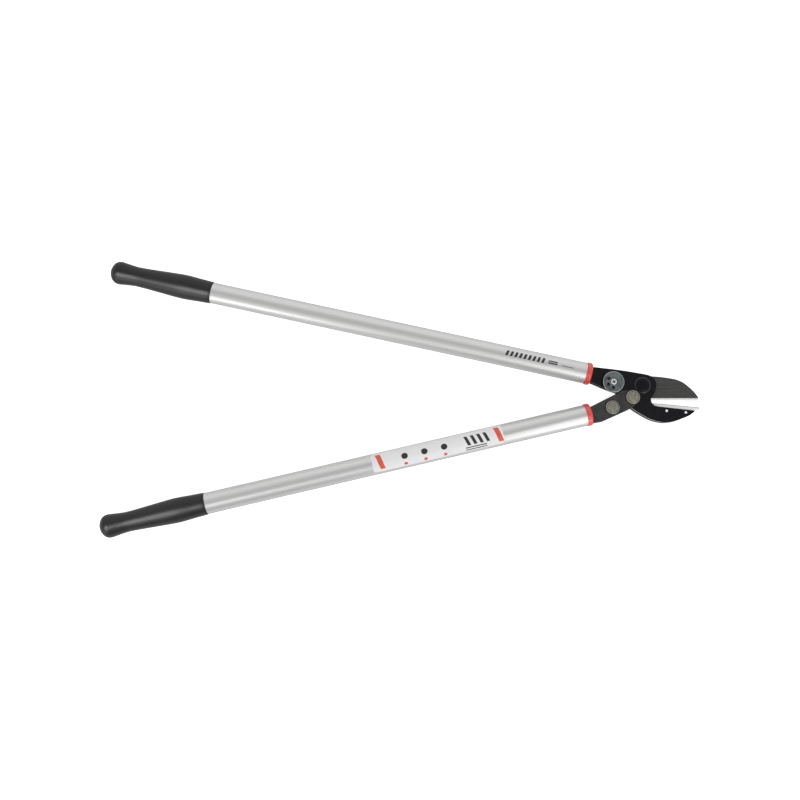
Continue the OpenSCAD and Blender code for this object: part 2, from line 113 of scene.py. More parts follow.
class LopperColours(bpy.types.PropertyGroup):
    """Colours of the finishes."""

    grip: colour("Black grip plastic", (0.005, 0.005, 0.005))
    tube: colour("Drawn aluminium", (0.68, 0.68, 0.675))
    collar: colour("Red plastic", (0.74, 0.06, 0.05))
    hook: colour("Black coating", (0.0045, 0.0045, 0.006))
    # Lighter than the black coating: a painted sheen on the hook's near walls, beside their real gloss
    hook_wall_sheen: colour("Coated walls of the hook plates", (0.06, 0.06, 0.062))
    lever: colour("Dark grey coating", (0.026, 0.026, 0.027))
    blade: colour("Blade coating", (0.042, 0.041, 0.040))
    ground: colour("Ground steel", (0.84, 0.84, 0.83))
    head: colour("Dull plated heads", (0.315, 0.30, 0.25))
    dial: colour("Dull plated dial", (0.165, 0.185, 0.185))
    bright: colour("Bright plated steel", (0.80, 0.80, 0.79))
    anvil: colour("Light alloy", (0.92, 0.92, 0.91))
    rivet: colour("White alloy of the anvil's rivets", (0.95, 0.95, 0.95))
    # Dark grey on the anvil's chamfers: painted shade
    anvil_edge_shade: colour("Dull chamfer of the anvil", (0.13, 0.13, 0.13))
    paper: colour("Label sheet", (0.82, 0.82, 0.83))
    red_ink: colour("Red print on the label", (0.72, 0.10, 0.06))
    dark_ink: colour("Dark print", (0.02, 0.02, 0.022))
    floor: colour("Studio floor", (0.80, 0.80, 0.80))


def sizes():
    return bpy.context.scene.lopper_sizes


def colours():
    return bpy.context.scene.lopper_colours


# Selecting, modelling and placing pieces

def clear_selection():
    """Go back to object mode with nothing selected."""
    if bpy.context.mode != "OBJECT":
        bpy.ops.object.mode_set(mode="OBJECT")
    bpy.ops.object.select_all(action="DESELECT")


def pick(piece):
    """Make one piece the only selected and active one."""
    clear_selection()
    piece.select_set(True)
    bpy.context.view_layer.objects.active = piece


def edit_all(piece):
    """Open a piece in edit mode with everything selected."""
    pick(piece)
    bpy.ops.object.mode_set(mode="EDIT")
    bpy.ops.mesh.select_mode(type="VERT")
    bpy.ops.mesh.select_all(action="SELECT")


def close_edit():
    bpy.ops.object.mode_set(mode="OBJECT")


def settle(piece, place):
    """Move a piece to its place and put that place into its mesh."""
    pick(piece)
    piece.matrix_world = place @ piece.matrix_world
    bpy.ops.object.transform_apply(location=True, rotation=True, scale=True)


def smooth(piece):
    """Shade a piece smooth, except over its sharp edges."""
    pick(piece)
    bpy.ops.object.shade_smooth_by_angle(angle=SMOOTH_ANGLE)


def apply_modifier(piece, modifier):
    pick(piece)
    bpy.ops.object.modifier_apply(modifier=modifier.name)


def lathe(name, stations, segments=72, ring=False):
    """Raise a ring from station to station, each a height and a radius.

    Both ends are closed, or joined to each other where the profile is a ring.
    """
    clear_selection()
    height, radius = stations[0]
    bpy.ops.mesh.primitive_circle_add(vertices=segments, radius=radius, fill_type="NOTHING")
    piece = bpy.context.active_object
    piece.name = name
    edit_all(piece)
    bpy.ops.transform.translate(value=(0, 0, height))
    for next_height, next_radius in stations[1:]:
        bpy.ops.mesh.extrude_region_move(TRANSFORM_OT_translate={"value": (0, 0, next_height - height)})
        grow = next_radius / radius
        bpy.ops.transform.resize(value=(grow, grow, 1))
        height, radius = next_height, next_radius
    bpy.ops.mesh.select_all(action="SELECT")
    if ring:
        bpy.ops.mesh.remove_doubles(threshold=MERGE)
    else:
        bpy.ops.mesh.fill_holes(sides=0)
    bpy.ops.mesh.normals_make_consistent(inside=False)
    close_edit()
    smooth(piece)
    return piece


def steps_from(height, radius, steps):
    """Stations at steps, up and out in millimetres, from a height and a radius."""
    return [(height + up * MM, radius + out * MM) for up, out in steps]


def shares_below(top, radius, rows):
    """Stations at drops in millimetres below a top, with shares of a radius."""
    return [(top - drop * MM, radius * share) for drop, share in rows]


def coat(piece, *finishes):
    """Give a piece its finishes, in the order of its slots."""
    piece.data.materials.clear()
    for name in finishes:
        piece.data.materials.append(FINISHES[name])
    return piece


def merged_copy(node, name, *finishes):
    """A piece that starts as a CAD node's shape, its triangles merged into whole faces."""
    piece = bpy.data.objects.new(name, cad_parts[node].data.copy())
    bpy.context.scene.collection.objects.link(piece)
    edit_all(piece)
    bpy.ops.mesh.customdata_custom_splitnormals_clear()
    bpy.ops.mesh.remove_doubles(threshold=MERGE)
    bpy.ops.mesh.dissolve_limited(angle_limit=FLAT_ANGLE)
    bpy.ops.mesh.normals_make_consistent(inside=False)
    close_edit()
    return coat(piece, *finishes)


def round_edges(piece, width, segments=2, edge_slot=-1, angle=SHARP):
    """Round a piece's sharp edges; the rounded faces can take a slot of their own."""
    pick(piece)
    bpy.ops.object.shade_smooth()
    bevel = piece.modifiers.new("Rounded edges", "BEVEL")
    bevel.width = width
    bevel.segments = segments
    bevel.limit_method = "ANGLE"
    bevel.angle_limit = radians(angle)
    bevel.harden_normals = True
    bevel.material = edge_slot
    apply_modifier(piece, bevel)


def select_points(piece, test):
    """Open a piece in edit mode with only the points selected that pass a test of their place."""
    edit_all(piece)
    bpy.ops.mesh.select_all(action="DESELECT")
    close_edit()
    for point in piece.data.vertices:
        point.select = test(point.co)
    bpy.ops.object.mode_set(mode="EDIT")


def cut_edges(piece, test, width, slot, segments=1):
    """Bevel the edges whose two faces pass a test; the new faces take a slot of their own."""
    sides = {}
    for face in piece.data.polygons:
        for key in face.edge_keys:
            sides.setdefault(key, []).append((face.normal.copy(), face.center.copy()))
    edit_all(piece)
    bpy.ops.mesh.select_mode(type="EDGE")
    bpy.ops.mesh.select_all(action="DESELECT")
    close_edit()
    for edge in piece.data.edges:
        edge.select = len(sides[edge.key]) == 2 and test(*sides[edge.key])
    if not any(edge.select for edge in piece.data.edges):
        raise ValueError(f"{piece.name} has no edge to bevel")
    bpy.ops.object.mode_set(mode="EDIT")
    bpy.ops.mesh.bevel(offset=width, segments=segments, affect="EDGES", material=slot)
    close_edit()


def beside_flat(other):
    """A test for edges between a face square to Z and a face that passes another test."""
    def flat(facing, at):
        return abs(facing.z) > SQUARE_ON

    def test(one, two):
        return (flat(*one) and other(*two)) or (flat(*two) and other(*one))
    return test


def paint_faces(piece, slot, test):
    """Put the faces that pass a test of middle and normal into a material slot."""
    for face in piece.data.polygons:
        if test(face.center, face.normal):
            face.material_index = slot


def hand_over(piece, body, slot, *nodes):
    """Let a finished piece ride on its body and stand for its CAD nodes."""
    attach(piece, body)
    if nodes:
        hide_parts(*nodes)


def rounded_copy(node, name, body, slot, finish_name, width, segments=2, angle=SHARP):
    """A CAD node's shape with rounded edges and one finish."""
    piece = merged_copy(node, name, finish_name)
    round_edges(piece, width, segments, angle=angle)
    hand_over(piece, body, slot, node)


def keep_nodes(finish_name, *nodes):
    """CAD nodes that stay, with a better finish."""
    for node in nodes:
        coat(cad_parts[node], finish_name)


def round_node(node):
    """Middle, half height and radius of an upright round CAD node."""
    low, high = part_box(node)
    return (low + high) / 2, (high.z - low.z) / 2, (high.x - low.x) / 2


SLOPE_ROUNDS = 20


def tube_line(node):
    """Front end, direction, length and radius of a straight tube that lies flat, from its box."""
    low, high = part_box(node)
    span = high - low
    slope = 0.0
    for _ in range(SLOPE_ROUNDS):
        rise = span.y - span.z * cos(slope)
        run = span.x - span.z * sin(slope)
        slope = atan2(rise, run)
    centre = (low + high) / 2
    side = copysign(1, centre.y)
    along = Vector((-cos(slope), side * sin(slope), 0))
    run = hypot(rise, run)
    return Tube(centre - along * run / 2, along, run, span.z / 2)


def handle_place(node):
    """Place at a tube's front end with Z along the tube, X across it in the floor's plane."""
    tube = tube_line(node)
    up = Vector((0, 0, 1))
    turn = Matrix((up.cross(tube.along), up, tube.along)).transposed().to_4x4()
    return Matrix.Translation(tube.front) @ turn


def through(points, steps):
    """A smooth line through points, with a number of steps between neighbours."""
    line = []
    last = len(points) - 1
    for i in range(last):
        a, b, c, d = (points[max(i - 1, 0)], points[i], points[i + 1], points[min(i + 2, last)])
        for k in range(steps):
            t = k / steps
            line.append(tuple(
                (2 * q + (r - p) * t + (2 * p - 5 * q + 4 * r - s) * t ** 2
                 + (3 * q - p - 3 * r + s) * t ** 3) / 2
                for p, q, r, s in zip(a, b, c, d)))
    return line + [points[last]]


# Shared effects as node groups

FINISH_IN = (("Vector", "Vector"), ("Low Colour", "Color"), ("High Colour", "Color"),
             ("Low Roughness", "Float"), ("High Roughness", "Float"))
FINISH_OUT = (("Colour", "Color"), ("Roughness", "Float"), ("Height", "Float"))
# Range that noise mostly keeps to
NOISE_RANGE = (0.3, 0.7)
# Share of the clouds beside their grain, and of the turned rings beside their stain
CLOUD_SHARE = 0.65
RING_SHARE = 0.45


def new_effect(name, *values):
    """An effect with the shared sockets and some values of its own: the group and its two ends."""
    group = bpy.data.node_groups.new(name, "ShaderNodeTree")
    own = tuple((value, "Float") for value in values)
    for way, sockets in (("INPUT", FINISH_IN + own), ("OUTPUT", FINISH_OUT)):
        for socket, kind in sockets:
            group.interface.new_socket(name=socket, in_out=way, socket_type=f"NodeSocket{kind}")
    return group, group.nodes.new("NodeGroupInput"), group.nodes.new("NodeGroupOutput")


def link(tree, source, output, target, entry):
    tree.links.new(source.outputs[output], target.inputs[entry])


def fill(node, values):
    """Set a node's sockets by their names."""
    for name, value in values.items():
        node.inputs[name].default_value = value


def feed(tree, socket, value):
    """Set a socket to a number, or link it to another socket."""
    if isinstance(value, (int, float)):
        socket.default_value = value
    else:
        tree.links.new(value, socket)


def noise(group, place, scale, detail, rough, kind="3D"):
    """Noise at a place, or at one number where it is of the 1D kind."""
    node = group.nodes.new("ShaderNodeTexNoise")
    node.noise_dimensions = kind
    group.links.new(place, node.inputs["W" if kind == "1D" else "Vector"])
    for name, value in (("Scale", scale), ("Detail", detail), ("Roughness", rough)):
        feed(group, node.inputs[name], value)
    return node.outputs["Fac"]


def math_node(tree, operation, first, second):
    node = tree.nodes.new("ShaderNodeMath")
    node.operation = operation
    feed(tree, node.inputs[0], first)
    feed(tree, node.inputs[1], second)
    return node.outputs[0]


def vector_math(group, operation, place):
    """A vector node with its first input linked."""
    node = group.nodes.new("ShaderNodeVectorMath")
    node.operation = operation
    group.links.new(place, node.inputs[0])
    return node


def spread(tree, value, start, end):
    """Stretch a value from start..end to 0..1."""
    node = tree.nodes.new("ShaderNodeMapRange")
    fill(node, {"From Min": start, "From Max": end})
    tree.links.new(value, node.inputs["Value"])
    return node.outputs["Result"]


def blend(group, first, second, share):
    """The sum of two stretched noises, the first with a share of the whole."""
    parts = [math_node(group, "MULTIPLY", spread(group, value, *NOISE_RANGE), part)
             for value, part in ((first, share), (second, 1 - share))]
    return math_node(group, "ADD", *parts)


def finish_outputs(group, inlet, outlet, factor, height):
    """Blend the group's two colours and roughnesses by one factor."""
    for name, kind in (("Colour", "RGBA"), ("Roughness", "FLOAT")):
        mix = group.nodes.new("ShaderNodeMix")
        mix.data_type = kind
        group.links.new(factor, mix.inputs["Factor"])
        link(group, inlet, f"Low {name}", mix, "A")
        link(group, inlet, f"High {name}", mix, "B")
        link(group, mix, "Result", outlet, name)
    group.links.new(height, outlet.inputs["Height"])


def mottle_group():
    """Cloudy colour with a fine grain, for coatings and plastics."""
    group, inlet, outlet = new_effect("Mottle", "Scale", "Grain")
    place = inlet.outputs["Vector"]
    cloud = noise(group, place, inlet.outputs["Scale"], detail=4.0, rough=0.55)
    grain = noise(group, place, inlet.outputs["Grain"], detail=2.0, rough=0.55)
    finish_outputs(group, inlet, outlet, blend(group, cloud, grain, CLOUD_SHARE), grain)
    return group


def streak_group():
    """Fine lines along the first axis, as on drawn, ground or milled metal."""
    group, inlet, outlet = new_effect("Streaks", "Along", "Across")
    stretch = group.nodes.new("ShaderNodeCombineXYZ")
    for axis, name in (("X", "Along"), ("Y", "Across"), ("Z", "Across")):
        link(group, inlet, name, stretch, axis)
    drawn = vector_math(group, "MULTIPLY", inlet.outputs["Vector"])
    link(group, stretch, "Vector", drawn, 1)
    lines = noise(group, drawn.outputs["Vector"], 1.0, detail=5.0, rough=0.65)
    finish_outputs(group, inlet, outlet, spread(group, lines, *NOISE_RANGE), lines)
    return group


def ring_group():
    """Turning marks round the Z axis, broken up by a cloudy stain."""
    group, inlet, outlet = new_effect("Turned rings", "Pitch", "Stain")
    place = inlet.outputs["Vector"]
    flat = vector_math(group, "MULTIPLY", place)
    flat.inputs[1].default_value = (1, 1, 0)
    reach = vector_math(group, "LENGTH", flat.outputs["Vector"])
    rings = noise(group, reach.outputs["Value"], inlet.outputs["Pitch"], detail=3.0, rough=0.5, kind="1D")
    stain = noise(group, place, inlet.outputs["Stain"], detail=5.0, rough=0.6)
    finish_outputs(group, inlet, outlet, blend(group, rings, stain, RING_SHARE), rings)
    return group


GROUPS = {}
FINISHES = {}
COAT_ROUGHNESS = 0.08


def shade(rgb, factor):
    return tuple(min(1.0, c * factor) for c in rgb)


def finish(name, rgb, contrast, roughness, bump, effect="mottle", metal=0.0, centre=(0, 0, 0), turn=0.0,
           coat_weight=0.0, specular=0.5, **values):
    """A material whose colour, roughness and bump come from one shared effect.

    Contrast spreads the colour to both sides, roughness is its low and high end, and bump is its
    strength and its depth in millimetres. Centre and turn move the effect to a piece's own axis.
    """
    material = bpy.data.materials.new(name)
    material.use_nodes = True
    tree = material.node_tree
    surface = tree.nodes["Principled BSDF"]
    fill(surface, {"Metallic": metal, "Coat Weight": coat_weight, "Coat Roughness": COAT_ROUGHNESS,
                   "Specular IOR Level": specular})
    place = tree.nodes.new("ShaderNodeTexCoord")
    moved = tree.nodes.new("ShaderNodeMapping")
    moved.vector_type = "TEXTURE"
    fill(moved, {"Location": centre, "Rotation": (0, 0, turn)})
    node = tree.nodes.new("ShaderNodeGroup")
    node.node_tree = GROUPS[effect]
    fill(node, {"Low Colour": (*shade(rgb, 1 - contrast), 1), "Low Roughness": roughness[0],
                "High Colour": (*shade(rgb, 1 + contrast), 1), "High Roughness": roughness[1]})
    fill(node, {key.capitalize(): value for key, value in values.items()})
    rough_skin = tree.nodes.new("ShaderNodeBump")
    fill(rough_skin, {"Strength": bump[0], "Distance": bump[1] * MM})
    link(tree, place, "Object", moved, "Vector")
    link(tree, moved, "Vector", node, "Vector")
    link(tree, node, "Height", rough_skin, "Height")
    link(tree, node, "Colour", surface, "Base Color")
    link(tree, node, "Roughness", surface, "Roughness")
    link(tree, rough_skin, "Normal", surface, "Normal")
    FINISHES[name] = material


def turned_finish(name, rgb, contrast, roughness, at, stain):
    """Turned metal whose rings run round one piece's axis."""
    finish(name, rgb, contrast, roughness, (0.12, 0.02), "rings", metal=1.0,
           centre=(at.x, at.y, 0), pitch=1500, stain=stain)


class LOPPER_OT_finishes(bpy.types.Operator):
    """Make the finishes that the pieces share"""

    bl_idname = "lopper.finishes"
    bl_label = "Finishes"

    def execute(self, context):
        GROUPS.update(mottle=mottle_group(), streaks=streak_group(), rings=ring_group())
        c = colours()
        self.handles(c)
        self.coatings(c)
        self.metals(c)
        return {"FINISHED"}

    def handles(self, c):
        """Grips, tubes, collars, label and print."""
        finish("Grip plastic", c.grip, 0.25, (0.3, 0.38), (0.16, 0.05), specular=0.42, scale=70, grain=2600)
        for side, _ in SIDES:
            axis = tube_line(f"{side}_tube").along
            finish(f"Drawn tube {side}", c.tube, 0.035, (0.36, 0.42), (0.05, 0.02), "streaks",
                   metal=1.0, turn=atan2(axis.y, axis.x), along=5, across=1500)
        finish("Collar plastic", c.collar, 0.08, (0.2, 0.28), (0.08, 0.03),
               coat_weight=0.6, scale=120, grain=1800)
        finish("Label sheet", c.paper, 0.03, (0.3, 0.38), (0.03, 0.02), scale=90, grain=1200)
        finish("Red print", c.red_ink, 0.06, (0.3, 0.4), (0.03, 0.02), scale=150, grain=1200)
        finish("Dark print", c.dark_ink, 0.2, (0.35, 0.45), (0.03, 0.02), scale=150, grain=1200)

    def coatings(self, c):
        """Black and grey coatings of the head, each with the tone of its edges; the hook's near walls carry a
        painted sheen and the cap's rim a painted highlight.
        """
        finish("Hook coating", c.hook, 0.4, (0.2, 0.34), (0.14, 0.03), specular=0.2, scale=160, grain=1300)
        finish("Hook edge", shade(c.hook, 2.2), 0.5, (0.26, 0.36), (0.12, 0.03),
               specular=0.6, scale=400, grain=2200)
        finish("Hook wall", c.hook_wall_sheen, 0.2, (0.16, 0.24), (0.06, 0.02),
               coat_weight=1.0, specular=1.0, scale=400, grain=2200)
        finish("Cap coating", c.hook, 0.5, (0.2, 0.32), (0.12, 0.03), specular=0.15, scale=220, grain=1500)
        # The cap's rim is painted lighter than its coating, a painted highlight beside its real gloss
        finish("Cap rim highlight", shade(c.hook, 3), 0.4, (0.2, 0.3), (0.08, 0.03),
               specular=0.6, scale=300, grain=1500)
        finish("Lever coating", c.lever, 0.6, (0.34, 0.48), (0.14, 0.03), scale=110, grain=1500)
        finish("Lever edge", shade(c.lever, 1.5), 0.4, (0.34, 0.46), (0.14, 0.03), scale=400, grain=2200)
        finish("Blade coating", c.blade, 0.35, (0.34, 0.46), (0.08, 0.02), "streaks", along=60, across=500)

    def metals(self, c):
        """Bare and plated metal of the head, with painted shade in the heads' grooves, the screw's recess and
        the anvil's chamfers, and a painted highlight on the dial's rim.
        """
        finish("Ground steel", c.ground, 0.06, (0.24, 0.36), (0.12, 0.02), "streaks", metal=1.0,
               turn=QUARTER_TURN, along=12, across=1800)
        finish("Light alloy", c.anvil, 0.04, (0.5, 0.6), (0.12, 0.02), "streaks", metal=0.2,
               along=30, across=900)
        # Dark metal for the anvil's chamfers: painted shade
        finish("Anvil edge", c.anvil_edge_shade, 0.2, (0.45, 0.55), (0.12, 0.02), "streaks", metal=1.0,
               along=30, across=900)
        finish("Rivet alloy", c.rivet, 0.03, (0.3, 0.4), (0.05, 0.02), metal=0.3, scale=400, grain=1800)
        finish("Plated steel", c.head, 0.16, (0.38, 0.5), (0.1, 0.02), metal=1.0, scale=260, grain=1500)
        # Darker plated steel for the heads' grooves: painted shade
        finish("Head groove shade", shade(c.head, 0.62), 0.3, (0.4, 0.55), (0.1, 0.02), metal=1.0,
               scale=400, grain=1500)
        # The dial's rim is painted lighter than the dial, a painted highlight
        finish("Dial rim", shade(c.dial, 2.1), 0.3, (0.2, 0.3), (0.05, 0.02), metal=1.0,
               scale=300, grain=1500)
        finish("Bright steel", c.bright, 0.08, (0.18, 0.28), (0.05, 0.02), metal=1.0, scale=300, grain=1500)
        # Near-black steel for the inside of the screw's recess: painted shade
        finish("Screw recess shade", shade(c.bright, 0.1), 0.3, (0.4, 0.5), (0.1, 0.02), metal=1.0,
               scale=400, grain=1500)


# Handles

# Shares of a grip's length, with shares of its flare's radius along the end and the neck
GRIP_END = ((0.003, 0.2), (0.012, 0.46), (0.03, 0.74), (0.05, 0.895), (0.068, 0.972))
GRIP_NECK = ((0.094, 1.0), (0.135, 0.955), (0.2, 0.885))
# Shares of its length at the waist, half way to the belly, at the belly, half way to the mouth, at the mouth
GRIP_BODY = (0.29, 0.5, 0.715, 0.87, 0.968)
GRIP_SWELL = 0.45 * MM
END_STEPS = 8
BODY_STEPS = 5
# Steps in millimetres, along and out: the seam from the end's last point, the lip from the mouth's edge
GRIP_SEAM = ((0.25, -0.35), (0.7, -0.3), (1.0, 0.12))
GRIP_LIP = ((-3.0, 0.3), (-2.65, -0.05), (-2.25, -0.05), (-1.95, 0.25), (-0.6, 0.2), (-0.15, 0.0),
            (0.0, -0.4))


def grip_stations():
    """Heights and radii of a grip, from the inside of its mouth to the middle of its end."""
    s = sizes()
    reach = s.grip_length
    tube_r = tube_line("upper_tube").radius
    mouth = tube_r + s.grip_lip
    radii = (s.grip_waist, (s.grip_waist + s.grip_belly) / 2, s.grip_belly,
             (s.grip_belly + mouth) / 2, mouth + GRIP_SWELL)
    end = through([(reach * share, s.grip_flare * part) for share, part in GRIP_END], END_STEPS)
    neck = [(reach * share, s.grip_flare * part) for share, part in GRIP_NECK]
    body = [(reach * share, radius) for share, radius in zip(GRIP_BODY, radii)]
    outline = (end + steps_from(*end[-1], GRIP_SEAM) + through(neck + body, BODY_STEPS)
               + steps_from(reach, mouth, GRIP_LIP) + [(reach, tube_r - s.tube_wall)])
    return [(reach - at, radius) for at, radius in reversed(outline)]


class LOPPER_OT_grips(bpy.types.Operator):
    """Model both grips with their flared ends, end seams and mouth lips"""

    bl_idname = "lopper.grips"
    bl_label = "Grips"

    def execute(self, context):
        for side, body in SIDES:
            tube = f"{side}_tube"
            piece = coat(lathe(f"{side}_grip_moulding", grip_stations(), segments=96), "Grip plastic")
            settle(piece, handle_place(tube) @ Matrix.Translation((0, 0, tube_line(tube).run)))
            hand_over(piece, body, "grip", f"{side}_grip")
        return {"FINISHED"}


class LOPPER_OT_tubes(bpy.types.Operator):
    """Model both handle tubes with their walls and chamfered ends"""

    bl_idname = "lopper.tubes"
    bl_label = "Tubes"

    def execute(self, context):
        s = sizes()
        cut = s.tube_chamfer
        for side, body in SIDES:
            node = f"{side}_tube"
            _, _, run, radius = tube_line(node)
            inner = radius - s.tube_wall
            piece = lathe(f"{side}_tube_drawn", [
                (0, inner), (0, radius - cut), (cut, radius), (run - cut, radius),
                (run, radius - cut), (run, inner), (0, inner)], segments=128, ring=True)
            coat(piece, f"Drawn tube {side}")
            settle(piece, handle_place(node))
            hand_over(piece, body, "tube", node)
        return {"FINISHED"}


class LOPPER_OT_collars(bpy.types.Operator):
    """Model both red collars"""

    bl_idname = "lopper.collars"
    bl_label = "Collars"

    def execute(self, context):
        for side, body in SIDES:
            rounded_copy(f"{side}_collar", f"{side}_collar_plug", body, "collar", "Collar plastic",
                         sizes().collar_round, 3, VERY_SHARP)
        return {"FINISHED"}


# Head

# Walls of the hook plates that face the near side are glossy and painted a lighter grey as a painted sheen in
# front of this place, and plain behind it
GLOSS_AND_SHEEN_FROM = -20 * MM
NEAR_WALL = -0.2
# After rounding, parts of a normal along Y within which a face still belongs to a glossy wall with painted
# sheen
GLOSS_AND_SHEEN_BAND = (-0.97, -0.3)
# Parts of a normal along Y and Z that tell the ground faces of the blade
GROUND_TILT = (0.2, 0.6)
GROUND_FLAT = 0.7


class LOPPER_OT_hook(bpy.types.Operator):
    """Model both hook plates with rounded edges and glossy near walls with painted sheen"""

    bl_idname = "lopper.hook"
    bl_label = "Hook plates"

    def execute(self, context):
        for node in ("hook_front", "hook_rear"):
            piece = merged_copy(node, f"{node}_plate", "Hook coating", "Hook edge", "Hook wall")
            # Near walls take the lighter grey, a painted sheen
            paint_faces(piece, 2, lambda at, facing: facing.y < NEAR_WALL and at.x > GLOSS_AND_SHEEN_FROM)
            round_edges(piece, sizes().plate_round, 3, edge_slot=1)
            paint_faces(piece, 2, lambda at, facing: GLOSS_AND_SHEEN_BAND[0] < facing.y < GLOSS_AND_SHEEN_BAND[1]
                        and at.x > GLOSS_AND_SHEEN_FROM and abs(facing.z) < SQUARE_ON)
            paint_faces(piece, 0, lambda at, facing: facing.y < NEAR_WALL and at.x < GLOSS_AND_SHEEN_FROM)
            hand_over(piece, ROOT, "hook_black", node)
        keep_nodes("Plated steel", "upper_spacer")
        return {"FINISHED"}


class LOPPER_OT_anvil(bpy.types.Operator):
    """Model the anvil bar with its chamfers, painted dark as their shade, and its rivets"""

    bl_idname = "lopper.anvil"
    bl_label = "Anvil"

    def execute(self, context):
        s = sizes()
        piece = merged_copy("anvil", "anvil_bar", "Light alloy", "Anvil edge")
        # The chamfers take the dark finish as painted shade
        cut_edges(piece, beside_flat(lambda facing, at: facing.y > SQUARE_ON), s.anvil_chamfer, 1)
        cut_edges(piece, beside_flat(lambda facing, at: facing.x > SQUARE_ON), 2 * s.anvil_chamfer, 1)
        round_edges(piece, s.anvil_round, angle=VERY_SHARP)
        hand_over(piece, ROOT, "anvil", "anvil")
        rounded_copy("anvil_rivets", "anvil_rivet_pair", ROOT, "anvil", "Rivet alloy", s.small_round)
        return {"FINISHED"}


class LOPPER_OT_blade(bpy.types.Operator):
    """Model the blade with its coating and its ground edge"""

    bl_idname = "lopper.blade"
    bl_label = "Blade"

    def execute(self, context):
        piece = merged_copy("blade", "blade_plate", "Blade coating", "Ground steel")
        paint_faces(piece, 1, lambda at, facing: GROUND_TILT[0] < -facing.y < GROUND_TILT[1]
                    and abs(facing.z) > GROUND_FLAT)
        round_edges(piece, sizes().blade_round)
        hand_over(piece, "blade", "blade_grey", "blade")
        return {"FINISHED"}


class LOPPER_OT_straps(bpy.types.Operator):
    """Model both straps of the lower lever"""

    bl_idname = "lopper.straps"
    bl_label = "Lever straps"

    def execute(self, context):
        for node in ("lever_front", "lever_rear"):
            piece = merged_copy(node, f"{node}_strap", "Lever coating", "Lever edge")
            round_edges(piece, sizes().strap_round, 3, edge_slot=1)
            hand_over(piece, LEVER, "lever_grey", node)
        keep_nodes("Plated steel", "lever_spacer")
        return {"FINISHED"}


# Bolts, studs and the screw

# Radius and end chamfer of each shank, in millimetres
SHANKS = {
    "lever_pivot_front": (6, 0.4),
    "lever_pivot_rear": (6, 0.4),
    "drive_bolt": (3.5, 0.5),
    "pivot_bolt": (5, 0.5),
    "dial_screw": (2.5, 0.4),
}
# Flat heads: steps in millimetres from the edge of the seat or the top, then drops and shares of the radius
HEAD_SEAT = ((0.0, -1.2), (1.0, 0.0))
HEAD_RIM = ((-0.9, 0.0), (-0.45, -0.25), (-0.2, -0.75))
HEAD_GROOVE = ((-0.12, -1.4), (-0.4, -1.6), (-0.4, -2.3), (-0.1, -2.7))
HEAD_MIDDLE = ((0.03, 0.5), (0.0, 0.2))
# Depth within which the groove's faces are painted darker as shade
GROOVE_DEPTH = 0.5 * MM
# The main cap: steps from the edge of its seat and of its rim, then its dome's inset
CAP_SEAT = ((0.0, -0.2), (0.2, 0.0))
CAP_EDGE = ((-1.1, 0.0), (-0.75, -0.12), (-0.35, -0.45), (0.0, -0.95), (0.1, -1.4), (0.0, -1.7))
CAP_INSET = 1.8 * MM
CAP_RIM_GAP = 0.2 * MM
DOME_STEP = 8
# The dial's screw: steps from the edge of its seat, then drops and shares of the radius
SCREW_SEAT = ((0.0, -0.15), (0.15, 0.0))
SCREW_FOOT = 0.2 * MM
SCREW_TOP = ((0.95, 1.0), (0.55, 0.92), (0.25, 0.76), (0.07, 0.5), (0.0, 0.2))
RECESS_TURNS = (25, 115)
RECESS_WIDTH = 1.5 * MM
RECESS_LENGTH = 1.3
RECESS_DEPTH = 1.2 * MM
# What tells the recess, whose faces are painted dark as shade: share of the radius within it, part of a
# wall's normal along Z, depth of its floor
RECESS_REACH = 0.68
RECESS_WALL = 0.3
RECESS_FLOOR = 1.0 * MM
# Part of the dial's radius beyond which its rim lies
RIM_FROM = 0.8


def shank(node, half, seat):
    """Stations of a plain shank with a chamfered end, up to the seat of its head."""
    radius, chamfer = (value * MM for value in SHANKS[node])
    return [(-half, radius - chamfer), (-half + chamfer, radius), (seat, radius)]


def headed_bolt(node, name, body, flip=0.0):
    """A turned bolt whose flat head has a rolled rim, a fine groove painted darker as its shade, and a
    slightly raised middle.
    """
    at, half, radius = round_node(node)
    seat = half - sizes().head_height
    piece = lathe(name, shank(node, half, seat) + steps_from(seat, radius, HEAD_SEAT)
                  + steps_from(half, radius, HEAD_RIM + HEAD_GROOVE)
                  + shares_below(half, radius, HEAD_MIDDLE))
    turned_finish(f"{node} metal", colours().head, 0.6, (0.3, 0.46), at, stain=210)
    coat(piece, f"{node} metal", "Head groove shade")
    outer, inner = (radius + HEAD_GROOVE[k][1] * MM for k in (0, -1))
    # The groove's faces take the darker finish as painted shade
    paint_faces(piece, 1, lambda place, facing: place.z > half - GROOVE_DEPTH
                and inner < place.xy.length < outer)
    settle(piece, Matrix.Translation(at) @ Matrix.Rotation(flip, 4, "X"))
    hand_over(piece, body, "zinc", node)


class LOPPER_OT_lever_pivots(bpy.types.Operator):
    """Model the two headed studs that carry the lower lever"""

    bl_idname = "lopper.lever_pivots"
    bl_label = "Lever pivots"

    def execute(self, context):
        for node, flip in (("lever_pivot_front", 0), ("lever_pivot_rear", pi)):
            headed_bolt(node, f"{node}_stud", ROOT, flip)
        return {"FINISHED"}


class LOPPER_OT_drive_bolt(bpy.types.Operator):
    """Model the drive bolt and its nut"""

    bl_idname = "lopper.drive_bolt"
    bl_label = "Drive bolt"

    def execute(self, context):
        headed_bolt("drive_bolt", "drive_bolt_headed", LEVER)
        rounded_copy("drive_nut", "drive_nut_hex", LEVER, "zinc", "Plated steel", sizes().small_round)
        keep_nodes("Plated steel", "drive_sleeves", "drive_roller")
        return {"FINISHED"}


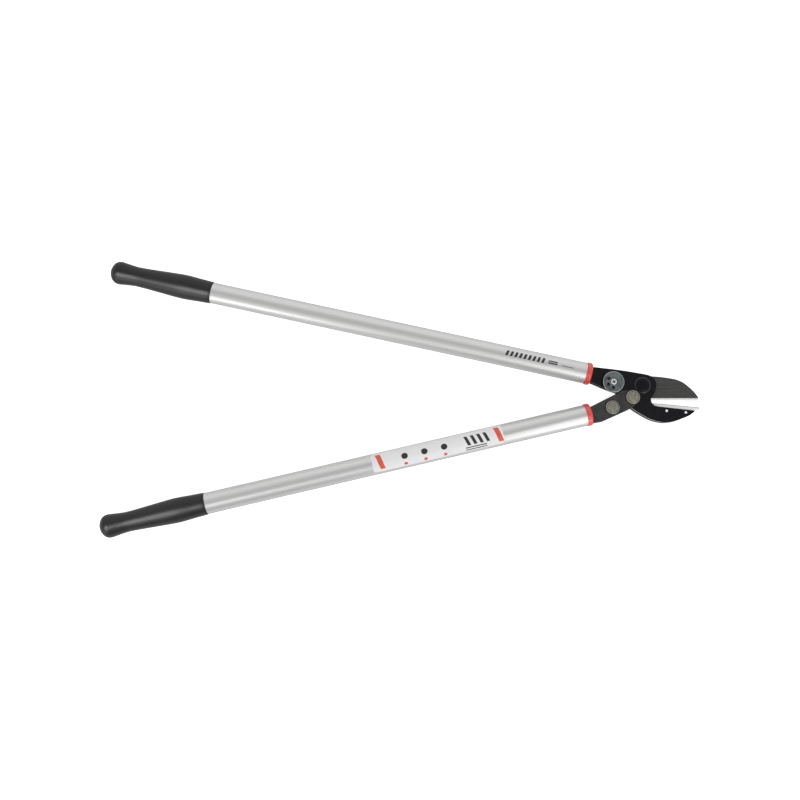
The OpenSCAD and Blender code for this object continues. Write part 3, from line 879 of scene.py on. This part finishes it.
class LOPPER_OT_main_pivot(bpy.types.Operator):
    """Model the main bolt's domed cap, its washer and its nut"""

    bl_idname = "lopper.main_pivot"
    bl_label = "Main pivot"

    def execute(self, context):
        s = sizes()
        at, half, radius = round_node("pivot_bolt")
        seat = half - s.cap_height
        rim = seat + s.cap_rim
        dome_r = radius - CAP_INSET
        dome = [(rim + (half - rim) * sin(radians(a)), dome_r * cos(radians(a)))
                for a in range(DOME_STEP, 90, DOME_STEP)]
        piece = lathe("pivot_cap", shank("pivot_bolt", half, seat) + steps_from(seat, radius, CAP_SEAT)
                      + steps_from(rim, radius, CAP_EDGE) + dome, segments=96)
        coat(piece, "Cap coating", "Cap rim highlight")
        # Rim faces take the lighter finish as a painted highlight
        paint_faces(piece, 1, lambda place, facing: place.z > rim + CAP_EDGE[0][0] * MM
                    and place.xy.length > dome_r + CAP_RIM_GAP)
        settle(piece, Matrix.Translation(at))
        hand_over(piece, ROOT, "hook_black", "pivot_bolt")
        for node in ("pivot_washer", "pivot_nut"):
            rounded_copy(node, f"{node}_plated", ROOT, "zinc", "Plated steel", s.small_round)
        keep_nodes("Plated steel", "pivot_bush")
        return {"FINISHED"}


class LOPPER_OT_dial(bpy.types.Operator):
    """Model the stop dial, its screw and its nut"""

    bl_idname = "lopper.dial"
    bl_label = "Stop dial"

    def execute(self, context):
        s = sizes()
        self.disc(s)
        self.screw(s)
        rounded_copy("dial_nut", "dial_nut_hex", ROOT, "zinc", "Plated steel", s.small_round)
        # The cam under the index holes takes the dark lever coating, which also darkens the holes' bottoms as
        # painted shade
        keep_nodes("Lever coating", "stop_cam")
        keep_nodes("Plated steel", "dial_bush", "dial_washer")
        return {"FINISHED"}

    def disc(self, s):
        """Plated disc with a rounded rim painted lighter as a painted highlight, and countersunk index holes
        painted black as their shade.
        """
        at, _, radius = round_node("stop_dial")
        rim_r = RIM_FROM * radius
        screw_r = round_node("dial_screw")[2]
        turned_finish("Dial metal", colours().dial, 0.7, (0.28, 0.44), at, stain=150)
        dial = merged_copy("stop_dial", "stop_dial_disc", "Dial metal", "Dial rim", "Hook coating")

        def wall(facing, place, inner, outer):
            return abs(facing.z) < UPRIGHT and inner < (place - at).xy.length < outer

        # The walls of the index and screw holes are painted black, as painted shade
        paint_faces(dial, 2, lambda place, facing: wall(facing, place, 0, rim_r))
        # The rounded rim takes the lighter finish, a painted highlight
        cut_edges(dial, beside_flat(lambda facing, place: wall(facing, place, rim_r, inf)),
                  s.dial_round, 1, segments=3)
        # The countersinks are painted black too, painted shade that makes the holes look larger and darker
        cut_edges(dial, beside_flat(lambda facing, place: wall(facing, place, screw_r, rim_r)),
                  s.index_sink, 2)
        smooth(dial)
        hand_over(dial, "stop_dial", "dial", "stop_dial")

    def screw(self, s):
        """Pan head with a cross recess, painted dark as its shade, on a plain shank."""
        at, half, radius = round_node("dial_screw")
        seat = half - s.screw_head
        piece = lathe("dial_screw_pan", shank("dial_screw", half, seat) + steps_from(seat, radius, SCREW_SEAT)
                      + shares_below(half, radius, SCREW_TOP), segments=48)
        for turn in RECESS_TURNS:
            clear_selection()
            bpy.ops.mesh.primitive_cube_add(size=1, location=(0, 0, half))
            tool = bpy.context.active_object
            tool.scale = (RECESS_WIDTH, radius * RECESS_LENGTH, 2 * RECESS_DEPTH)
            tool.rotation_euler = (0, 0, radians(turn))
            cut = piece.modifiers.new("Recess", "BOOLEAN")
            cut.operation = "DIFFERENCE"
            cut.object = tool
            apply_modifier(piece, cut)
            bpy.data.objects.remove(tool)
        coat(piece, "Bright steel", "Screw recess shade")
        # Walls and floor of the recess take the dark finish as painted shade
        paint_faces(piece, 1, lambda place, facing: place.z > seat + SCREW_FOOT
                    and place.xy.length < RECESS_REACH * radius
                    and (abs(facing.z) < RECESS_WALL or place.z < half - RECESS_FLOOR))
        smooth(piece)
        settle(piece, Matrix.Translation(at))
        hand_over(piece, ROOT, "bright", "dial_screw")


# Label and print

# Cells of the print's mesh, its height before it is pressed on, its gap as a share of its thickness
PRINT_CELL = 0.9 * MM
PRESS_ROOM = 0.6 * MM
PRESS_GAP = 0.4
# The label's edges in degrees from the tube's top, the degrees of the cuts that round its corners, its mesh
LABEL_TURN = (-62, 55)
CORNER_CUTS = (15, 35, 55, 75)
SHEET_GAP = 0.02 * MM
SHEET_SEGMENTS = 180
SHEET_STEPS = 24
# Motifs: corners, width, height and lean in millimetres, degrees from the tube's top, places along the tube
BAR = 4
DISC = 24
RED_MOTIFS = (
    (BAR, 7, 28, 5, -4, (9, 177)),
    (DISC, 5, 5, 0, 38, (84, 112, 140)),
)
DARK_MOTIFS = (
    (BAR, 4.5, 15, 4, -6, (26, 35, 44, 53)),
    (DISC, 9, 9, 0, -4, (84, 112, 140)),
    (BAR, 30, 1.6, 0, 31, (40,)),
    (BAR, 30, 1.6, 0, 44, (40,)),
)
TUBE_MOTIFS = (
    (BAR, 3.6, 8, -2, -8, tuple(62 + 6.4 * k for k in range(9))),
    (BAR, 13, 2, -0.5, -12, (49,)),
    (BAR, 13, 2, -0.5, -1, (49,)),
    (BAR, 17, 0.9, 0, -1, (28,)),
)


def flat_shape(corners, wide, tall, lean):
    """A thin flat motif on the local XY plane: a bar that can lean, or a disc where corners are many.

    Its cells are fine enough to follow the tube that it is laid on.
    """
    clear_selection()
    if corners == BAR:
        bpy.ops.mesh.primitive_plane_add(size=1)
    else:
        bpy.ops.mesh.primitive_circle_add(vertices=corners, radius=0.5, fill_type="TRIFAN")
    piece = bpy.context.active_object
    edit_all(piece)
    bpy.ops.transform.resize(value=(wide, tall, 1))
    select_points(piece, lambda at: at.y > tall / 4)
    bpy.ops.transform.translate(value=(lean, 0, 0))
    bpy.ops.mesh.select_all(action="SELECT")
    cell = tall if corners == BAR else tall / 2
    bpy.ops.mesh.subdivide(number_cuts=max(2, round(cell / PRINT_CELL)))
    close_edit()
    return piece


def motifs(node, start, rows):
    """Flat motifs above a tube, their places counted from a start on it."""
    radius = tube_line(node).radius
    upright = Matrix.Rotation(QUARTER_TURN, 4, "Y") @ Matrix.Rotation(QUARTER_TURN, 4, "X")
    shapes = []
    for corners, wide, tall, lean, turn, places in rows:
        for place in places:
            shape = flat_shape(corners, wide * MM, tall * MM, lean * MM)
            lifted = Matrix.Translation((0, radius + PRESS_ROOM, start + place * MM)) @ upright
            turned = Matrix.Rotation(-radians(turn), 4, "Z")
            settle(shape, handle_place(node) @ turned @ lifted)
            shapes.append(shape)
    return shapes


def thicken(piece, name, thickness):
    """Give a sheet its thickness on the outer side."""
    skin = piece.modifiers.new(name, "SOLIDIFY")
    skin.thickness = thickness
    skin.offset = 1
    apply_modifier(piece, skin)


def lay_on(shapes, name, carrier, lift, finish_name):
    """Join motifs, press them on what carries them and give them a thickness."""
    pick(shapes[0])
    for shape in shapes:
        shape.select_set(True)
    bpy.ops.object.join()
    printed = bpy.context.active_object
    printed.name = name
    press = printed.modifiers.new("Press", "SHRINKWRAP")
    press.target = carrier
    press.wrap_method = "NEAREST_SURFACEPOINT"
    press.wrap_mode = "ABOVE_SURFACE"
    press.offset = PRESS_GAP * lift
    apply_modifier(printed, press)
    thicken(printed, "Ink", lift)
    edit_all(printed)
    bpy.ops.mesh.normals_make_consistent(inside=False)
    close_edit()
    return coat(printed, finish_name)


class LOPPER_OT_label(bpy.types.Operator):
    """Lay the pale label with plain motifs on the lower tube and plain marks on the upper one"""

    bl_idname = "lopper.label"
    bl_label = "Label and marks"

    def execute(self, context):
        s = sizes()
        sheet = self.blank(s)
        reds = motifs("lower_tube", s.label_start, RED_MOTIFS)
        darks = motifs("lower_tube", s.label_start, DARK_MOTIFS)
        red = lay_on(reds, "label_red_print", sheet, s.sheet, "Red print")
        dark = lay_on(darks, "label_dark_print", sheet, s.sheet, "Dark print")
        for piece, slot in ((sheet, "tube"), (red, "collar"), (dark, "grip")):
            hand_over(piece, LEVER, slot)
        marks = lay_on(motifs("upper_tube", 0, TUBE_MOTIFS), "tube_marks",
                       bpy.data.objects["upper_tube_drawn"], s.sheet, "Dark print")
        hand_over(marks, ROOT, "grip")
        return {"FINISHED"}

    def blank(self, s):
        """The label's bare sheet, wrapped round the tube."""
        radius = tube_line("lower_tube").radius + SHEET_GAP
        clear_selection()
        bpy.ops.mesh.primitive_circle_add(vertices=SHEET_SEGMENTS, radius=radius, fill_type="NOTHING")
        sheet = bpy.context.active_object
        sheet.name = "label_sheet"
        select_points(sheet, lambda at: not
                      LABEL_TURN[0] <= degrees(atan2(at.x, at.y)) <= LABEL_TURN[1])
        bpy.ops.mesh.delete(type="VERT")
        bpy.ops.mesh.select_all(action="SELECT")
        bpy.ops.transform.translate(value=(0, 0, s.label_start))
        for _ in range(SHEET_STEPS):
            bpy.ops.mesh.extrude_region_move(
                TRANSFORM_OT_translate={"value": (0, 0, s.label_length / SHEET_STEPS)})
        for turn in LABEL_TURN:
            for end in (0, 1):
                self.round_corner(s, radius, turn, end)
        bpy.ops.mesh.select_all(action="SELECT")
        bpy.ops.mesh.normals_make_consistent(inside=False)
        close_edit()
        thicken(sheet, "Sheet", s.sheet)
        coat(sheet, "Label sheet")
        smooth(sheet)
        settle(sheet, handle_place("lower_tube"))
        return sheet

    def round_corner(self, s, radius, turn, end):
        """Cut one corner of the sheet by planes that lie round its arc."""
        angle = radians(turn)
        edge = Vector((sin(angle), cos(angle), 0)) * radius
        around = Vector((cos(angle), -sin(angle), 0)) * copysign(1, turn)
        outward = Vector((0, 0, 2 * end - 1))
        corner = edge + Vector((0, 0, s.label_start + end * s.label_length))
        centre = corner - (around + outward) * s.label_corner
        for step in CORNER_CUTS:
            lean = radians(step)
            facing = cos(lean) * around + sin(lean) * outward
            bpy.ops.mesh.select_all(action="SELECT")
            bpy.ops.mesh.bisect(plane_co=centre + facing * s.label_corner, plane_no=facing,
                                clear_outer=True)


# Stage

CAMERA_AT = (-0.3395, -0.2007, 1.3047)
CAMERA_TILT = radians(8)
CAMERA_LENS = 41.64
CAMERA_SENSOR = 36
CAMERA_REACH = 20
WHITE = (1, 1, 1, 1)
FLOOR_SIZE = 12
FLOOR_DROP = 0.1 * MM
FLOOR_ROUGHNESS = 0.9
# Glow of the floor as the camera sees it directly, and as it shows in gloss
FLOOR_GLOW = (0.82, 0.1)
# Brightness of the studio over the height of a direction, and the near side that is dimmed
SKY_STOPS = ((0.0, 1.0), (0.3, 0.98), (0.62, 0.88), (0.86, 0.7), (0.99, 0.51))
NEAR_SIDE = (-0.74, -0.96)
NEAR_DIM = 0.7
# Lamps: name, place, width, depth, watts, and the only pieces that it lights, where not all
LAMP_AIM = (-0.34, -0.02, 0.02)
LAMPS = (
    ("Left key", (-1.35, -1.3, 0.5), 0.7, 0.9, 4.2, ()),
    ("Right key", (0.65, -1.3, 0.5), 0.7, 0.9, 4.2, ()),
    ("Right top", (0.45, -0.9, 1.45), 0.5, 0.5, 1.6, ()),
    ("Back top", (-0.34, 1.1, 1.3), 1.4, 0.7, 0.5, ()),
    ("Grip light", (-1.1, -0.72, 1.47), 1.0, 1.0, 21, ("upper_grip_moulding", "lower_grip_moulding")),
    ("Tube light", (-0.75, -1.05, 1.45), 0.4, 0.4, 1, ("lower_tube_drawn",)),
    ("Neck light", (0.36, -1.2, 0.85), 0.4, 0.4, 5, ("upper_tube_drawn",)),
)


def area_light(name, at, width, depth, watts, lit_pieces):
    """A soft box that doesn't show itself to the camera."""
    clear_selection()
    bpy.ops.object.light_add(type="AREA", location=at)
    lamp = bpy.context.active_object
    lamp.name = name
    lamp.data.shape = "RECTANGLE"
    lamp.data.size = width
    lamp.data.size_y = depth
    lamp.data.energy = watts
    lamp.rotation_euler = (Vector(LAMP_AIM) - Vector(at)).to_track_quat("-Z", "Y").to_euler()
    lamp.visible_camera = False
    if lit_pieces:
        lit = bpy.data.collections.new(f"Lit by {name}")
        for piece in lit_pieces:
            lit.objects.link(bpy.data.objects[piece])
        lamp.light_linking.receiver_collection = lit


def seen_glow(tree, direct, mirrored):
    """Glow of the floor as the camera sees it directly, or in gloss and through glass; else none."""
    path = tree.nodes.new("ShaderNodeLightPath")
    seen = math_node(tree, "MULTIPLY", path.outputs["Is Camera Ray"], direct)
    either = math_node(tree, "MAXIMUM", path.outputs["Is Glossy Ray"], path.outputs["Is Transmission Ray"])
    return math_node(tree, "ADD", seen, math_node(tree, "MULTIPLY", either, mirrored))


class LOPPER_OT_stage(bpy.types.Operator):
    """Lay the pale floor, set the soft light and the camera"""

    bl_idname = "lopper.stage"
    bl_label = "Stage"

    def execute(self, context):
        scene = context.scene
        scene.view_settings.view_transform = "Standard"
        self.floor()
        self.world(scene)
        for row in LAMPS:
            area_light(*row)
        clear_selection()
        bpy.ops.object.camera_add(location=CAMERA_AT, rotation=(CAMERA_TILT, 0, 0))
        camera = context.active_object
        camera.data.sensor_width = CAMERA_SENSOR
        camera.data.lens = CAMERA_LENS
        camera.data.clip_end = CAMERA_REACH
        scene.camera = camera
        return {"FINISHED"}

    def floor(self):
        """A wide plain floor that looks white but keeps the shadow."""
        clear_selection()
        bpy.ops.mesh.primitive_plane_add(size=FLOOR_SIZE, location=(0, 0, -FLOOR_DROP))
        floor = bpy.context.active_object
        floor.name = "studio_floor"
        material = bpy.data.materials.new("Studio floor")
        material.use_nodes = True
        tree = material.node_tree
        surface = tree.nodes["Principled BSDF"]
        fill(surface, {"Base Color": (*colours().floor, 1), "Roughness": FLOOR_ROUGHNESS,
                       "Specular IOR Level": 0.0})
        glow = tree.nodes.new("ShaderNodeEmission")
        fill(glow, {"Color": WHITE})
        tree.links.new(seen_glow(tree, *FLOOR_GLOW), glow.inputs["Strength"])
        bright = tree.nodes.new("ShaderNodeAddShader")
        link(tree, surface, "BSDF", bright, 0)
        link(tree, glow, "Emission", bright, 1)
        link(tree, bright, "Shader", tree.nodes["Material Output"], "Surface")
        floor.data.materials.append(material)

    def world(self, scene):
        """White behind the object, and a studio that is darker overhead and on the near side."""
        world = bpy.data.worlds.new("Studio")
        scene.world = world
        world.use_nodes = True
        tree = world.node_tree
        sky = tree.nodes["Background"]
        direction = tree.nodes.new("ShaderNodeTexCoord")
        split = tree.nodes.new("ShaderNodeSeparateXYZ")
        link(tree, direction, "Generated", split, "Vector")
        ramp = tree.nodes.new("ShaderNodeValToRGB")
        stops = ramp.color_ramp.elements
        ramp.color_ramp.interpolation = "EASE"
        while len(stops) < len(SKY_STOPS):
            stops.new(0.5)
        for stop, (at, level) in zip(stops, SKY_STOPS):
            stop.position = at
            stop.color = (level, level, level, 1)
        link(tree, split, "Z", ramp, "Fac")
        link(tree, ramp, "Color", sky, "Color")
        near = math_node(tree, "MULTIPLY", spread(tree, split.outputs["Y"], *NEAR_SIDE), NEAR_DIM)
        tree.links.new(math_node(tree, "SUBTRACT", 1.0, near), sky.inputs["Strength"])
        white = tree.nodes.new("ShaderNodeBackground")
        fill(white, {"Color": WHITE})
        path = tree.nodes.new("ShaderNodeLightPath")
        choice = tree.nodes.new("ShaderNodeMixShader")
        link(tree, path, "Is Camera Ray", choice, "Fac")
        link(tree, sky, "Background", choice, 1)
        link(tree, white, "Background", choice, 2)
        link(tree, choice, "Shader", tree.nodes["World Output"], "Surface")


MAKERS = (LOPPER_OT_finishes, LOPPER_OT_grips, LOPPER_OT_tubes, LOPPER_OT_collars, LOPPER_OT_hook,
          LOPPER_OT_anvil, LOPPER_OT_blade, LOPPER_OT_straps, LOPPER_OT_lever_pivots,
          LOPPER_OT_drive_bolt, LOPPER_OT_main_pivot, LOPPER_OT_dial, LOPPER_OT_label, LOPPER_OT_stage)


class LOPPER_PT_panel(bpy.types.Panel):
    """Lists the pieces of the lopper"""

    bl_label = "Anvil lopper"
    bl_idname = "LOPPER_PT_panel"
    bl_space_type = "VIEW_3D"
    bl_region_type = "UI"
    bl_category = "Lopper"

    def draw(self, context):
        for maker in MAKERS:
            self.layout.operator(maker.bl_idname)


CLASSES = (LopperSizes, LopperColours) + MAKERS + (LOPPER_PT_panel,)


def register():
    for cls in CLASSES:
        bpy.utils.register_class(cls)
    bpy.types.Scene.lopper_sizes = bpy.props.PointerProperty(type=LopperSizes)
    bpy.types.Scene.lopper_colours = bpy.props.PointerProperty(type=LopperColours)


def unregister():
    del bpy.types.Scene.lopper_colours
    del bpy.types.Scene.lopper_sizes
    for cls in reversed(CLASSES):
        bpy.utils.unregister_class(cls)


def main():
    register()
    for maker in MAKERS:
        category, action = maker.bl_idname.split(".")
        getattr(getattr(bpy.ops, category), action)()


if __name__ == "__main__":
    main()
